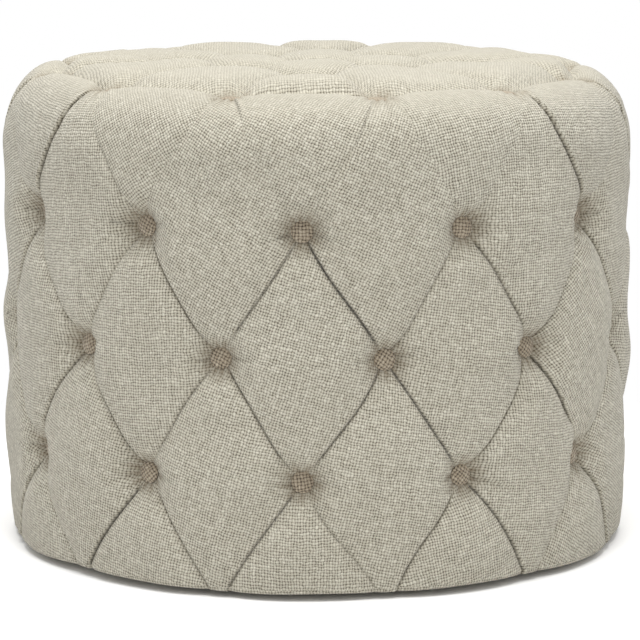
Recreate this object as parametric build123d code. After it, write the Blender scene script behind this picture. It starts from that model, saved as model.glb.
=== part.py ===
from build123d import *
import os
from math import atan2, cos, degrees, hypot, pi, radians, sin

# Round deep-buttoned ottoman coffee table. Millimetres, +Z up.
# The origin is the middle of the footprint on the floor. The front is towards -Y.

# Driving sizes of the whole ottoman
crest_radius = 300.0        # plumpest point of the side pillows
crest_height = 461.0        # highest point of the top pillows
floor_gap = 8.0             # height of the glides under the hem
tuft_depth = 25.0           # how far a button is pulled in below the crests
edge_round = 50.0           # rounding of the upper edge, measured at the crests

# Tufting layout
tufts_round = 12            # buttons in each row around the side
row_shares = (0.798, 0.5207, 0.2555)    # heights of the rows on the straight side
ring_inset = 26.0           # from the side in to the outer ring of buttons on the top
arms = 4                    # arms of the pattern inside that ring
arm_share = 0.53            # radius of the buttons at the tips of the arms, of the ring's
inner_share = 0.3735        # radius of the buttons between the arms, of the ring's

# Pleats and pillows of the cover
pleat_rise = 17.0           # height of a pleat half way between two buttons
seat_reach = 13.0           # from a button's middle to where a pleat starts
hem_rise = 13.0             # height of a pleat where it meets the hem
hem_split = 4.0             # degrees between the two pleats that meet at the hem
pleat_shares = (0.0, 0.16, 0.5, 0.84, 1.0)
edge_pleat_shares = (0.0, 0.16, 0.45, 0.70, 0.86, 1.0)
crown_power = 0.56          # how steeply a pillow rises from a button
pleat_power = 0.7           # how steeply a pleat rises from a button
level_shares = (0.72, 0.86, 1.0, 0.86, 0.72)
lower_edge_shares = (0.0, 0.62, 1.0, 0.94, 0.68)
hem_pillow_shares = (1.0, 0.98, 0.92, 0.80, 0.62)
wide_shares = (0.0, 0.10, 0.28, 0.5, 0.72, 0.90, 1.0)
wide_bulge_shares = (0.0, 0.42, 0.85, 1.0, 0.85, 0.42, 0.0)
narrow_pillow = 66.0        # width under which a pillow has fewer facets across
narrow_shares = (0.0, 0.22, 0.5, 0.78, 1.0)
narrow_bulge_shares = (0.0, 0.66, 1.0, 0.66, 0.0)

# Layers under the cover
tuft_cloth = 3.0            # linen and squashed fibre under a button
hem_cloth = 2.4             # linen turned in below the base ring
hem_turn_in = 53.0          # how far that linen reaches in from the side
side_foam_thickness = 10.0
top_foam_thickness = 35.0
layer_clearance = 0.2

# Wooden frame
panel_thickness = 4.0
drum_flats = 48             # narrow flats that the bent panel, the foam and the hollow run in
top_board_thickness = 15.0
base_ring_thickness = 18.0
base_ring_width = 68.0
post_count = 8
post_width = 40.0
post_depth = 30.0
post_turn = 7.5             # degrees, so that the posts stand between the twines
panel_seam = 1.0
wood_clearance = 0.1

# Buttons, twines and toggles
button_radius = 9.5
button_crown_radius = 5.6
button_rim_height = 1.2
button_dome_height = 2.9
button_sides = 8
back_radius = 6.6
back_height = 2.2
back_sides = 6
button_clearance = 0.15
twine_width = 1.6
twine_hole_radius = 3.0
twine_hole_sides = 8
toggle_length = 20.0
toggle_width = 6.0

# Underside
dust_cover_clearance = 2.0  # between the dust cover's edge and the glides
dust_cover_thickness = 0.6
staple_count = 18
staple_crown = 10.0
staple_wire = 1.2
staple_leg = 8.0
staple_inset = 5.0
glide_count = 6
glide_radius = 13.0
glide_inset = 27.0          # from the side in to a glide's middle
glide_edge = 2.0
glide_neck_share = 0.7
glide_sides = 16
nail_radius = 1.1
nail_grip = 14.0
nail_sides = 6

# Screws of the frame
screw_radius = 2.2
screw_head_radius = 4.2
screw_head_height = 2.6
screw_length = 45.0
screw_sides = 6
screw_inset = 15.0

cut_overrun = 5.0
place_digits = 4            # places closer than this many decimals are one

# Radii and heights that follow from the sizes above
side_radius = crest_radius - tuft_depth
top_height = crest_height - tuft_depth
corner_radius = edge_round - tuft_depth
flat_radius = side_radius - corner_radius
corner_run = corner_radius * pi / 2
corner_height = top_height - corner_radius
step = 360 / tufts_round
row_heights = [corner_height * share for share in row_shares]
ring_radius = side_radius - ring_inset
arm_radius = ring_radius * arm_share
inner_radius = ring_radius * inner_share

cavity_radius = side_radius - tuft_cloth
cavity_top = top_height - tuft_cloth
cavity_corner = corner_radius - tuft_cloth
base_bottom = floor_gap + hem_cloth
foam_radius = cavity_radius - layer_clearance
panel_radius = cavity_radius - layer_clearance - side_foam_thickness - layer_clearance
frame_radius = panel_radius - panel_thickness
board_radius = frame_radius - wood_clearance
foam_top = cavity_top - layer_clearance
board_top = foam_top - top_foam_thickness
board_bottom = board_top - top_board_thickness
ring_top = base_bottom + base_ring_thickness
ring_inner_radius = board_radius - base_ring_width
post_face = (board_radius ** 2 - (post_width / 2) ** 2) ** 0.5 - wood_clearance
toggle_face = board_radius - wood_clearance
turn_in_radius = side_radius - hem_turn_in
glide_place_radius = side_radius - glide_inset
dust_cover_radius = glide_place_radius - glide_radius - dust_cover_clearance


# The cloth is laid out by places: (angle in degrees, run, lift). The run is measured over the
# padding from the middle of the top, outwards and down the side. The lift stands square to it.
def run_at(height):
    """The run of a place at this height on the side."""
    return flat_radius + corner_run + corner_height - height


def on_cloth(angle, run, lift=0.0):
    """The point in space of a place on the cloth."""
    turn = min(max((run - flat_radius) / corner_radius, 0.0), pi / 2)
    reach = corner_radius + lift
    radius = min(run, flat_radius) + reach * sin(turn)
    height = corner_height + reach * cos(turn) - max(run - flat_radius - corner_run, 0.0)
    return Vector(radius * cos(radians(angle)), radius * sin(radians(angle)), height)


def between(first, second, share, flat):
    """The place at a share of the way: straight on the flat top, else along angle and run."""
    lift = first[2] + (second[2] - first[2]) * share
    if not flat:
        turn = (second[0] - first[0] + 180) % 360 - 180
        return (first[0] + turn * share, first[1] + (second[1] - first[1]) * share, lift)
    ends = [(run * cos(radians(angle)), run * sin(radians(angle)))
            for angle, run, _ in (first, second)]
    x, y = (a + (b - a) * share for a, b in zip(*ends))
    return (degrees(atan2(y, x)), hypot(x, y), lift)


# Places of the tufts
def side_tuft(row, number):
    half_step = 0.5 if row % 2 else 0.0
    return ((number + half_step) * step, run_at(row_heights[row]), 0.0)


def ring_tuft(number):
    return ((number + 0.5) * step, ring_radius, 0.0)


def arm_tuft(number):
    return (number * 360 / arms, arm_radius, 0.0)


def inner_tuft(number):
    return ((number + 0.5) * 360 / arms, inner_radius, 0.0)


def hem_end(number, side):
    """Where the pleat on one side of a half step reaches the hem."""
    return ((number + 0.5) * step + side * hem_split / 2, run_at(floor_gap), hem_rise)


centre_tuft = (0.0, 0.0, 0.0)
seats = {}


def seat_corner(tuft, other, flat):
    """The place where a pleat towards another tuft leaves the seat of a button."""
    length = (on_cloth(*tuft) - on_cloth(*other[:2])).length
    place = between(tuft, other, seat_reach / length, flat)
    return (place[0], place[1], 0.0)


def note_seat(tuft, corner):
    """Keep a corner of the flat seat at a tuft."""
    middle = tuple(round(length, place_digits) for length in on_cloth(*tuft))
    point = on_cloth(*corner)
    corners = seats.setdefault(middle, (tuft, {}))[1]
    corners[tuple(round(length, place_digits) for length in point)] = point


def side_corner(tuft, first, last, flat):
    """The place on a seat's rim half way between the starts of two of its pleats."""
    middle = between(first, last, 0.5, flat)
    length = (on_cloth(*tuft) - on_cloth(*middle)).length
    place = between(tuft, middle, seat_reach / length, flat)
    note_seat(tuft, place)
    return place


def levels(first, last):
    """Shares of the way between two tufts, closer together over the rounded upper edge."""
    over_edge = sorted((first[1], last[1]))
    if over_edge[0] > flat_radius or over_edge[1] < flat_radius + corner_run:
        return pleat_shares
    if first[1] > last[1]:
        return edge_pleat_shares
    return tuple(1 - share for share in reversed(edge_pleat_shares))


def pleat(first, last, flat=False):
    """Places along the pleat between two tufts, or from a tuft to the hem."""
    start = seat_corner(first, last, flat)
    to_hem = last[2] > 0
    end = last if to_hem else seat_corner(last, first, flat)
    note_seat(first, start)
    if not to_hem:
        note_seat(last, end)
    places = []
    for share in levels(first, last):
        place = between(start, end, share, flat)
        lift = pleat_rise * (4 * share * (1 - share)) ** pleat_power
        if to_hem and share > 0.5:
            lift = pleat_rise + (hem_rise - pleat_rise) * (2 * share - 1)
        places.append((place[0], place[1], lift))
    return places


def section(left, right, crest, flat):
    """Places across a pillow, from pleat to pleat, bulging up to the crest."""
    width = (on_cloth(*left) - on_cloth(*right)).length
    shares, bulges = wide_shares, wide_bulge_shares
    if width < narrow_pillow:
        shares, bulges = narrow_shares, narrow_bulge_shares
    places = []
    for share, bulge in zip(shares, bulges):
        angle, run, lift = between(left, right, share, flat)
        places.append((angle, run, lift + (crest - lift) * bulge))
    return places


def strip(upper, lower):
    """Flat three-cornered facets between two rows of places, whatever their counts."""
    rows = [[on_cloth(*place) for place in row] for row in (upper, lower)]
    at = [0, 0]
    facets = []
    while at[0] < len(upper) - 1 or at[1] < len(lower) - 1:
        ahead = [(at[i] + 1) / (len(rows[i]) - 1) if at[i] < len(rows[i]) - 1 else 2.0
                 for i in (0, 1)]
        side = 0 if ahead[0] <= ahead[1] else 1
        facets.append((rows[0][at[0]], rows[1][at[1]], rows[side][at[side] + 1]))
        at[side] += 1
    return facets


def pillow(lefts, rights, crests, flat, first=None, last=None):
    """The facets of a pillow between its left and right pleats, one strip for each level."""
    rows = [section(left, right, tuft_depth * crest, flat)
            for left, right, crest in zip(lefts, rights, crests)]
    if first is None:
        rows[0] = [lefts[0], rights[0]]
    if last is None:
        rows[-1] = [lefts[-1], rights[-1]]
    rows = ([first] if first else []) + rows + ([last] if last else [])
    return [facet for upper, lower in zip(rows, rows[1:]) for facet in strip(upper, lower)]


def pleat_pair(top, tuft, low, flat, flat_low):
    """Places down one side of a pillow: a pleat, the rim of a seat, and the next pleat."""
    above, below = pleat(top, tuft, flat), pleat(tuft, low, flat_low)
    return above + [side_corner(tuft, above[-1], below[0], flat_low)] + below


def rising(first, last):
    """Crests of a pillow, as shares of its full height, from a tuft to its widest level."""
    return tuple(sin(share * pi / 2) ** crown_power for share in levels(first, last))


def diamond(top, left, right, low, flat=False, flat_low=False):
    """A four-cornered pillow between four tufts."""
    lefts, rights = (pleat_pair(top, tuft, low, flat, flat_low) for tuft in (left, right))
    crests = rising(top, left) + (1.0,) + rising(low, left)[::-1]
    return pillow(lefts, rights, crests, flat)


def hem_diamond(number):
    """The pillow between two tufts of the lowest row, whose pleats meet at the hem."""
    top, left, right = side_tuft(1, number), side_tuft(2, number), side_tuft(2, number + 1)
    lefts = pleat_pair(top, left, hem_end(number, -1), False, False)
    rights = pleat_pair(top, right, hem_end(number, 1), False, False)
    return pillow(lefts, rights, rising(top, left) + (1.0,) + hem_pillow_shares, False)


def hem_pillow(number):
    """The pillow below a tuft of the lowest row, and the row of places along its hem."""
    top = side_tuft(2, number)
    lefts = pleat(top, hem_end(number - 1, 1))
    rights = pleat(top, hem_end(number, -1))
    hem = section(lefts[-1], rights[-1], tuft_depth * lower_edge_shares[-1], False)
    facets = pillow(lefts[:-1], rights[:-1], lower_edge_shares[:-1], False, None, hem)
    return facets, hem


def edge_triangle(number):
    """A three-cornered pillow over the upper edge, above a tuft of the highest row."""
    low, left, right = side_tuft(0, number), ring_tuft(number - 1), ring_tuft(number)
    ridge = pleat(left, right, True)
    crests = rising(low, left)[:-1] + (level_shares[-1],)
    return pillow(pleat(low, left), pleat(low, right), crests, False, None, ridge)


def top_quad(left_out, right_out, left_in, right_in):
    """A pillow on the top between a pleat of the outer ring and one of the inner pattern."""
    lefts = pleat(left_out, left_in, True)
    rights = pleat(right_out, right_in, True)
    outer, inner = pleat(left_out, right_out, True), pleat(left_in, right_in, True)
    return pillow(lefts, rights, level_shares, True, outer, inner)


def tuft_frame(tuft):
    """The plane of a tuft's seat, Z out of the padding and X around it."""
    middle = on_cloth(*tuft)
    across = Vector(-sin(radians(tuft[0])), cos(radians(tuft[0])), 0)
    return Plane(origin=middle, x_dir=across, z_dir=on_cloth(tuft[0], tuft[1], 1.0) - middle)


def seat_facets():
    """The small flat seat under each button, between the ends of its pleats."""
    facets = []
    for tuft, corners in seats.values():
        frame = tuft_frame(tuft)
        local = {place: frame.to_local_coords(point) for place, point in corners.items()}
        points = [corners[place] for place in
                  sorted(corners, key=lambda place: atan2(local[place].Y, local[place].X))]
        facets += [(points[0], a, b) for a, b in zip(points[1:], points[2:])]
    return facets


def tufted_form():
    """The whole outer form of the cover as a closed solid, flat at the hem."""
    facets, hem = [], []
    for number in range(tufts_round):
        facets += diamond(ring_tuft(number), side_tuft(0, number), side_tuft(0, number + 1),
                          side_tuft(1, number))
        facets += diamond(side_tuft(0, number), side_tuft(1, number - 1), side_tuft(1, number),
                          side_tuft(2, number))
        facets += hem_diamond(number)
        pillow_facets, edge = hem_pillow(number)
        facets += pillow_facets
        hem += [on_cloth(*place) for place in edge]
    per_arm = tufts_round // arms
    for arm in range(arms):
        first = arm * per_arm
        tip, here, before = arm_tuft(arm), inner_tuft(arm), inner_tuft(arm - 1)
        facets += diamond(side_tuft(0, first), ring_tuft(first - 1), ring_tuft(first), tip,
                          flat_low=True)
        facets += edge_triangle(first + 1) + edge_triangle(first + 2)
        facets += top_quad(ring_tuft(first), ring_tuft(first + 1), tip, here)
        facets += top_quad(ring_tuft(first + 1), ring_tuft(first + 2), here, arm_tuft(arm + 1))
        facets += diamond(tip, before, here, centre_tuft, flat=True, flat_low=True)
    facets += seat_facets()
    faces = [Face(Wire.make_polygon(points)) for points in facets]
    faces.append(Face(Wire.make_polygon(hem)))
    return Solid(Shell(faces))


def disc(radius, bottom, top):
    """A plain round disc or drum."""
    return Pos(0, 0, bottom) * Cylinder(radius, top - bottom,
                                        align=(Align.CENTER, Align.CENTER, Align.MIN))


def flat_drum(radius, bottom, top, edge=0.0):
    """An upright drum in narrow flats, its upper edge bevelled where an edge is given."""
    outline = [(radius, bottom), (radius, top - edge)]
    if edge:
        outline.append((radius - edge, top))
    corner_share = 1 / cos(pi / drum_flats)
    body = faceted(drum_flats, [(reach * corner_share, height) for reach, height in outline])
    return Rot(0, 0, 180 / drum_flats) * body


def faceted(sides, outline):
    """A turned shape with flat sides, from the radius and height of each of its edges."""
    rings = [[Vector(radius * cos(2 * pi * side / sides), radius * sin(2 * pi * side / sides),
                     height) for side in range(sides)] for radius, height in outline]
    faces = [Face(Wire.make_polygon(ring)) for ring in (rings[0], rings[-1])]
    for low, high in zip(rings, rings[1:]):
        for side in range(sides):
            corners = (low[side - 1], low[side], high[side], high[side - 1])
            faces.append(Face(Wire.make_polygon(corners)))
    return Solid(Shell(faces))


def prism(sides, radius, bottom, top):
    """An upright prism with a regular outline, in a tuft's or a fastener's own frame."""
    return faceted(sides, [(radius, bottom), (radius, top)])


def tuft_frames(tufts):
    """Locations of the tufts, Z out of the padding and X around it."""
    return [tuft_frame(tuft).location for tuft in tufts]


side_rows = {
    "upper": [side_tuft(0, number) for number in range(tufts_round)],
    "middle": [side_tuft(1, number) for number in range(tufts_round)],
    "lower": [side_tuft(2, number) for number in range(tufts_round)],
}
top_rows = {
    "outer": [ring_tuft(number) for number in range(tufts_round)],
    "inner": [centre_tuft] + [tuft(number) for tuft in (arm_tuft, inner_tuft)
                              for number in range(arms)],
}


def linen_cover():
    """The buttoned linen with its fibre filling, hollow for the foam and the frame."""
    hollow = flat_drum(cavity_radius, base_bottom, cavity_top, cavity_corner)
    mouth = flat_drum(turn_in_radius, floor_gap - cut_overrun, base_bottom + cut_overrun)
    return tufted_form() - (hollow + mouth)


def side_foam():
    """The foam sheet wrapped around the side panel."""
    return (flat_drum(foam_radius, base_bottom, board_top)
            - flat_drum(panel_radius + layer_clearance, base_bottom - cut_overrun,
                        board_top + cut_overrun))


def top_foam():
    """The foam slab on the top board, bevelled at its edge."""
    return flat_drum(foam_radius, board_top, foam_top, cavity_corner)


def twine_holes(tufts, deep):
    """Drills at the tufts that reach inwards through the boards."""
    drill = prism(twine_hole_sides, twine_hole_radius, -deep, 0)
    return [frame * drill for frame in tuft_frames(tufts)]


def side_panel():
    """The board bent around the frame in narrow flats, drilled, and butted over a post."""
    tube = (flat_drum(panel_radius, base_bottom, board_top)
            - flat_drum(frame_radius, base_bottom - cut_overrun, board_top + cut_overrun))
    seam_angle = post_turn + 2 * 360 / post_count
    seam = Rot(0, 0, seam_angle) * Pos(panel_radius, 0, (base_bottom + board_top) / 2) * Box(
        2 * panel_thickness + cut_overrun, panel_seam, board_top - base_bottom + cut_overrun)
    deep = side_radius - frame_radius + cut_overrun
    holes = [hole for row in side_rows.values() for hole in twine_holes(row, deep)]
    return tube - seam - holes


def top_board():
    """The round board that carries the top, drilled under each button."""
    deep = top_height - board_bottom + cut_overrun
    holes = [hole for row in top_rows.values() for hole in twine_holes(row, deep)]
    return disc(board_radius, board_bottom, board_top) - holes


def base_ring():
    """The ring under the posts that the cover is turned in below."""
    return (disc(board_radius, base_bottom, ring_top)
            - disc(ring_inner_radius, base_bottom - cut_overrun, ring_top + cut_overrun))


def post(number):
    """One upright post between the base ring and the top board."""
    height = board_bottom - ring_top
    place = Pos(post_face - post_depth / 2, 0, ring_top + height / 2)
    return Rot(0, 0, post_turn + number * 360 / post_count) * place * Box(
        post_depth, post_width, height)


def frame_screws():
    """Countersunk screws through the top board and the base ring into the posts."""
    screw = (prism(screw_sides, screw_radius, -screw_length, -screw_head_height)
             + prism(screw_sides, screw_head_radius, -screw_head_height, 0))
    reach = post_face - screw_inset
    screws = []
    for number in range(post_count):
        turn = Rot(0, 0, post_turn + number * 360 / post_count)
        screws.append(turn * Pos(reach, 0, board_top) * screw)
        screws.append(turn * Pos(reach, 0, base_bottom) * Rot(180, 0, 0) * screw)
    return screws


def button():
    """A linen-covered button: a short rim and a crown, in a tuft's own frame."""
    rim_bottom = button_clearance + back_height
    rim_top = rim_bottom + button_rim_height
    return faceted(button_sides, [(back_radius, rim_bottom), (button_radius, rim_top),
                                  (button_crown_radius, rim_top + button_dome_height)])


def button_back():
    """The back that closes the button and holds its loop, on the cover's seat."""
    return prism(back_sides, back_radius * cos(pi / back_sides), button_clearance,
                 button_clearance + back_height)


def twine(deep):
    """The waxed twine from a button's back to its toggle."""
    bottom = -deep
    return Pos(0, 0, (bottom + button_clearance) / 2) * Box(
        twine_width, twine_width, button_clearance - bottom)


def toggle(deep, upright):
    """The wooden toggle behind a board that the twine is tied to."""
    size = (toggle_width, toggle_length) if upright else (toggle_length, toggle_width)
    return Pos(0, 0, -deep - toggle_width / 2) * Box(*size, toggle_width)


def glide_frames():
    """Locations of the glides on the floor, evenly spaced under the base ring."""
    return [Rot(0, 0, (number + 0.5) * 360 / glide_count) * Pos(glide_place_radius, 0, 0)
            for number in range(glide_count)]


def glides():
    """The nail-on plastic glides, each a bevelled foot with a narrower shoulder."""
    foot = faceted(glide_sides, [
        (glide_radius - glide_edge, 0), (glide_radius, glide_edge),
        (glide_radius, floor_gap - glide_edge), (glide_radius * glide_neck_share, floor_gap)])
    return [frame * foot for frame in glide_frames()]


def glide_nails():
    """The nails moulded in the glides and driven into the base ring."""
    nail = prism(nail_sides, nail_radius, floor_gap / 2, base_bottom + nail_grip)
    return [frame * nail for frame in glide_frames()]


def dust_cover():
    """The black cloth under the base, over the cut edge of the linen."""
    return disc(dust_cover_radius, floor_gap - dust_cover_thickness, floor_gap)


def dust_staples():
    """The staples that hold the dust cover."""
    low = floor_gap - dust_cover_thickness - staple_wire
    crown = Pos(0, 0, low + staple_wire / 2) * Box(staple_wire, staple_crown, staple_wire)
    leg = Box(staple_wire, staple_wire, staple_leg)
    high = low + staple_wire + staple_leg / 2
    offset = (staple_crown - staple_wire) / 2
    staple = crown + Pos(0, offset, high) * leg + Pos(0, -offset, high) * leg
    reach = dust_cover_radius - staple_inset
    return [Rot(0, 0, number * 360 / staple_count) * Pos(reach, 0, 0) * staple
            for number in range(staple_count)]


def build():
    """Every piece of the ottoman by its name."""
    pieces = {
        "linen_cover": linen_cover(), "side_foam": side_foam(), "top_foam": top_foam(),
        "side_panel": side_panel(), "top_board": top_board(), "base_ring": base_ring(),
        "dust_cover": dust_cover(), "dust_staples": dust_staples(),
        "frame_screws": frame_screws(), "glides": glides(), "glide_nails": glide_nails(),
    }
    for number in range(post_count):
        pieces[f"post_{number + 1}"] = post(number)
    side_deep = side_radius - toggle_face
    top_deep = top_height - board_bottom + wood_clearance
    for place, rows, deep in (("side", side_rows, side_deep), ("top", top_rows, top_deep)):
        for row, tufts in rows.items():
            frames = tuft_frames(tufts)
            patterns = {"buttons": button(), "button_backs": button_back(),
                        "twines": twine(deep), "toggles": toggle(deep, place == "side")}
            for name, piece in patterns.items():
                pieces[f"{place}_{name}_{row}"] = [frame * piece for frame in frames]
    return pieces


os.makedirs("parts", exist_ok=True)
for name, shape in build().items():
    if isinstance(shape, list):
        shape = Compound(children=shape)
    export_step(shape, f"parts/{name}.step")
    print(name, round(shape.volume / 1000, 1), "cm3")
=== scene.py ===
"""Looks of a round deep-buttoned linen ottoman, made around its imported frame. Metres, +Z up."""

import logging
from dataclasses import dataclass, field
from enum import Enum
from zlib import crc32

import bmesh
import bpy
import numpy as np
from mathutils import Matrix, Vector
from numpy.typing import NDArray


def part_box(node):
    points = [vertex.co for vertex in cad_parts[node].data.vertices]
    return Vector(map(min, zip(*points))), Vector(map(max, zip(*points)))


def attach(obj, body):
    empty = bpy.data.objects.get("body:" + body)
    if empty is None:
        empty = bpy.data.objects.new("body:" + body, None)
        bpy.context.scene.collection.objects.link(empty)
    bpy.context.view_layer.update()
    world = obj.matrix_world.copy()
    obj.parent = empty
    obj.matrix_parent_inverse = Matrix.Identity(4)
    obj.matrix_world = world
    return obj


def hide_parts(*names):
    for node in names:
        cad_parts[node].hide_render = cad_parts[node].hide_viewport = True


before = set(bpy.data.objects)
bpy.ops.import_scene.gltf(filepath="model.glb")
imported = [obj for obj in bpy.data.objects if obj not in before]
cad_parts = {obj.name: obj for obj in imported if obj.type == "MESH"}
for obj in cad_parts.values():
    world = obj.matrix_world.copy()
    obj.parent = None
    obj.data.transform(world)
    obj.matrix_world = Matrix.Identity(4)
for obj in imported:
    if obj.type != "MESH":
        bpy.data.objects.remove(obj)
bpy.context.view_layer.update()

Array = NDArray[np.float64]
Tuft = tuple[str, int, int]
Colour = tuple[float, float, float]
Piece = bpy.types.Object

log = logging.getLogger("ottoman")

BODY = "root"
SEED = 41
WELD_DISTANCE = 0.00002
LEAST = 1e-6
WHITE = (1.0, 1.0, 1.0)


class Lap(Enum):
    """How a pillow meets the fold of a pleat."""

    OVER = 1.0
    UNDER = -1.0


def smooth(values: Array, low: float, high: float) -> Array:
    """A soft step from 0 at low to 1 at high: 3t squared less 2t cubed."""
    share = np.clip((values - low) / (high - low), 0.0, 1.0)
    return share * share * (3.0 - 2.0 * share)


def ease(values: Array, reach: float, power: float) -> Array:
    """A rise from 0 to 1 that is steep at first: 1 less (1 - value / reach) to the power."""
    return 1.0 - (1.0 - np.clip(values / reach, 0.0, 1.0)) ** power


def bell(values: Array) -> Array:
    """A bell curve: e to the power of less the square."""
    return np.exp(-values ** 2)


def signed(angle: Array | float) -> Array | float:
    """An angle in degrees, brought between -180 and 180."""
    return (angle + 180.0) % 360.0 - 180.0


def heading(angle: Array | float) -> Array:
    """Cosine and sine of an angle in radians, in the last axis."""
    return np.stack([np.cos(angle), np.sin(angle)], axis=-1)


def polar(points: Array) -> tuple[Array, Array]:
    """Angles in radians and radii of points, by their x and y."""
    return np.arctan2(points[..., 1], points[..., 0]), np.hypot(points[..., 0], points[..., 1])


def top_places(plan: Array) -> Array:
    """Places on the flat top, angles in degrees and runs, of x and y."""
    angle, radius = polar(plan)
    return np.stack([np.degrees(angle), radius], axis=-1)


def space(radius: Array | float, angle: Array, height: Array | float) -> Array:
    """Points by radius, angle in radians and height, with x, y and z in the last axis."""
    parts = radius * np.cos(angle), radius * np.sin(angle), height
    return np.stack(np.broadcast_arrays(*parts), axis=-1)


def way_along(points: Array) -> Array:
    """How far each row of points lies along the line from the first: the sum of the steps."""
    steps = np.linalg.norm(np.diff(points, axis=0), axis=-1)
    return np.concatenate([np.zeros_like(steps[:1]), np.cumsum(steps, axis=0)])


def draws(*key: object) -> np.random.Generator:
    """Random numbers that belong to a named thing, the same in each run."""
    return np.random.default_rng(crc32(repr((SEED, *key)).encode()))


def linear(red: int, green: int, blue: int) -> Colour:
    """A screen colour of 0 to 255 as linear light, by the sRGB curve.

    Args:
        red, green, blue: its levels on a screen.

    Returns:
        The three levels of linear light.
    """
    levels = np.array((red, green, blue)) / 255.0
    return tuple(np.where(levels <= 0.04045, levels / 12.92,
                          ((levels + 0.055) / 1.055) ** 2.4).tolist())


def placed(name: str, data: bpy.types.ID) -> Piece:
    """A new object in the scene.

    Args:
        name: the object's name.
        data: its mesh, lamp or camera.

    Returns:
        The object.
    """
    made = bpy.data.objects.new(name, data)
    bpy.context.scene.collection.objects.link(made)
    return made


@dataclass(frozen=True)
class Tuck:
    """How firmly a pleat is tucked in, 1 for a full fold, and over which shares of its run.

    The run starts at the end nearer the middle of the top.
    """

    depth: float
    start: float
    end: float
    rise: float = 0.05
    fade: float = 0.22

    def at(self, shares: Array) -> Array:
        """The depth along the pleat: a soft step up at its start and one down at its end."""
        risen = smooth(shares, self.start - self.rise, self.start + self.rise)
        return self.depth * risen * (1.0 - smooth(shares, self.end - self.fade, self.end))


# Depth, start and end of the pleats' tucks: the least and the most, by the kinds of both ends
TUCK_RANGES = {
    ("side", "side"): ((0.35, 0.08, 0.82), (0.85, 0.15, 0.96)),
    ("side", "hem"): ((0.20, 0.12, 1.20), (0.65, 0.26, 1.40)),
    ("ring", "side"): ((0.04, 0.06, 0.30), (0.22, 0.12, 0.60)),
    ("ring", "ring"): ((0.12, 0.07, 0.32), (0.45, 0.12, 0.60)),
}
TOP_TUCKS = ((0.15, 0.08, 0.75), (0.55, 0.14, 0.98))
# The tucks of the front, by the kinds and rows of both ends, and then by their numbers
FIRM_TUCKS = {
    (("ring", 0), ("side", 0)): {
        (7, 7): (1.0, 0.10, 1.15), (10, 11): (1.0, 0.14, 1.10), (7, 8): (0.26, 0.34, 1.10),
        (8, 9): (0.55, 0.08, 0.34), (6, 6): (0.9, 0.08, 0.80), (11, 0): (0.9, 0.08, 0.80)},
    (("side", 0), ("side", 1)): {
        (7, 7): (0.55, 0.20, 0.95), (8, 7): (0.24, 0.10, 0.95), (8, 8): (0.60, 0.10, 0.95),
        (9, 8): (0.62, 0.08, 0.92), (9, 9): (1.0, 0.08, 0.98), (10, 9): (0.34, 0.10, 1.10),
        (10, 10): (0.66, 0.12, 0.92), (11, 10): (0.75, 0.20, 1.00)},
    (("side", 1), ("side", 2)): {
        (7, 8): (0.95, 0.20, 1.05), (7, 7): (0.60, 0.10, 0.90), (8, 8): (0.42, 0.10, 0.90),
        (8, 9): (0.60, 0.10, 0.95), (9, 9): (0.62, 0.08, 0.95), (9, 10): (0.80, 0.08, 0.98),
        (10, 10): (0.55, 0.12, 0.95), (10, 11): (0.95, 0.08, 0.75)},
    (("side", 2), ("hem", 1)): {(8, 7): (0.90, 0.14, 1.40)},
    (("side", 2), ("hem", -1)): {(10, 10): (0.75, 0.10, 1.40)},
}


@dataclass(frozen=True)
class Padding:
    """The padded drum that the linen is buttoned to, at the depth of the buttons.

    A place on it is an angle in degrees and a run in metres. The run goes from the middle of
    the top outwards, over the rounded edge and down the side.
    """

    crest_radius: float
    crest_height: float
    tuft_depth: float = 0.025
    edge_round: float = 0.050

    @property
    def side_radius(self) -> float:
        """Radius of the straight side."""
        return self.crest_radius - self.tuft_depth

    @property
    def corner_radius(self) -> float:
        """Radius of the rounded edge."""
        return self.edge_round - self.tuft_depth

    @property
    def flat_radius(self) -> float:
        """Radius of the flat top."""
        return self.side_radius - self.corner_radius

    @property
    def corner_run(self) -> float:
        """Length of the rounded edge."""
        return self.corner_radius * np.pi / 2

    @property
    def corner_height(self) -> float:
        """Height at which the rounded edge starts."""
        return self.crest_height - self.tuft_depth - self.corner_radius

    def run_at(self, height: float) -> float:
        """The run of a place at this height on the side."""
        return self.flat_radius + self.corner_run + self.corner_height - height

    def split(self, run: Array) -> tuple[Array, Array, Array]:
        """A run's part on the top, its turn over the edge in radians and its part on the side.

        Args:
            run: runs of places.

        Returns:
            The three parts, each an array like the run.
        """
        turn = np.clip((run - self.flat_radius) / self.corner_radius, 0.0, np.pi / 2)
        fall = np.maximum(run - self.flat_radius - self.corner_run, 0.0)
        return np.minimum(run, self.flat_radius), turn, fall

    def points(self, places: Array, lift: Array | float = 0.0) -> Array:
        """Points in space of places on the padding.

        On the top the radius is the run. Over the edge both turn by the run beyond the flat
        top, divided by the edge's radius. Down the side the height falls as the run grows.

        Args:
            places: angles and runs in the last axis.
            lift: how far the points stand off the padding, square to it.

        Returns:
            Points, with x, y and z in the last axis.
        """
        inner, turn, fall = self.split(places[..., 1])
        reach = self.corner_radius + lift
        height = self.corner_height + reach * np.cos(turn) - fall
        return space(inner + reach * np.sin(turn), np.radians(places[..., 0]), height)


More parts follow.
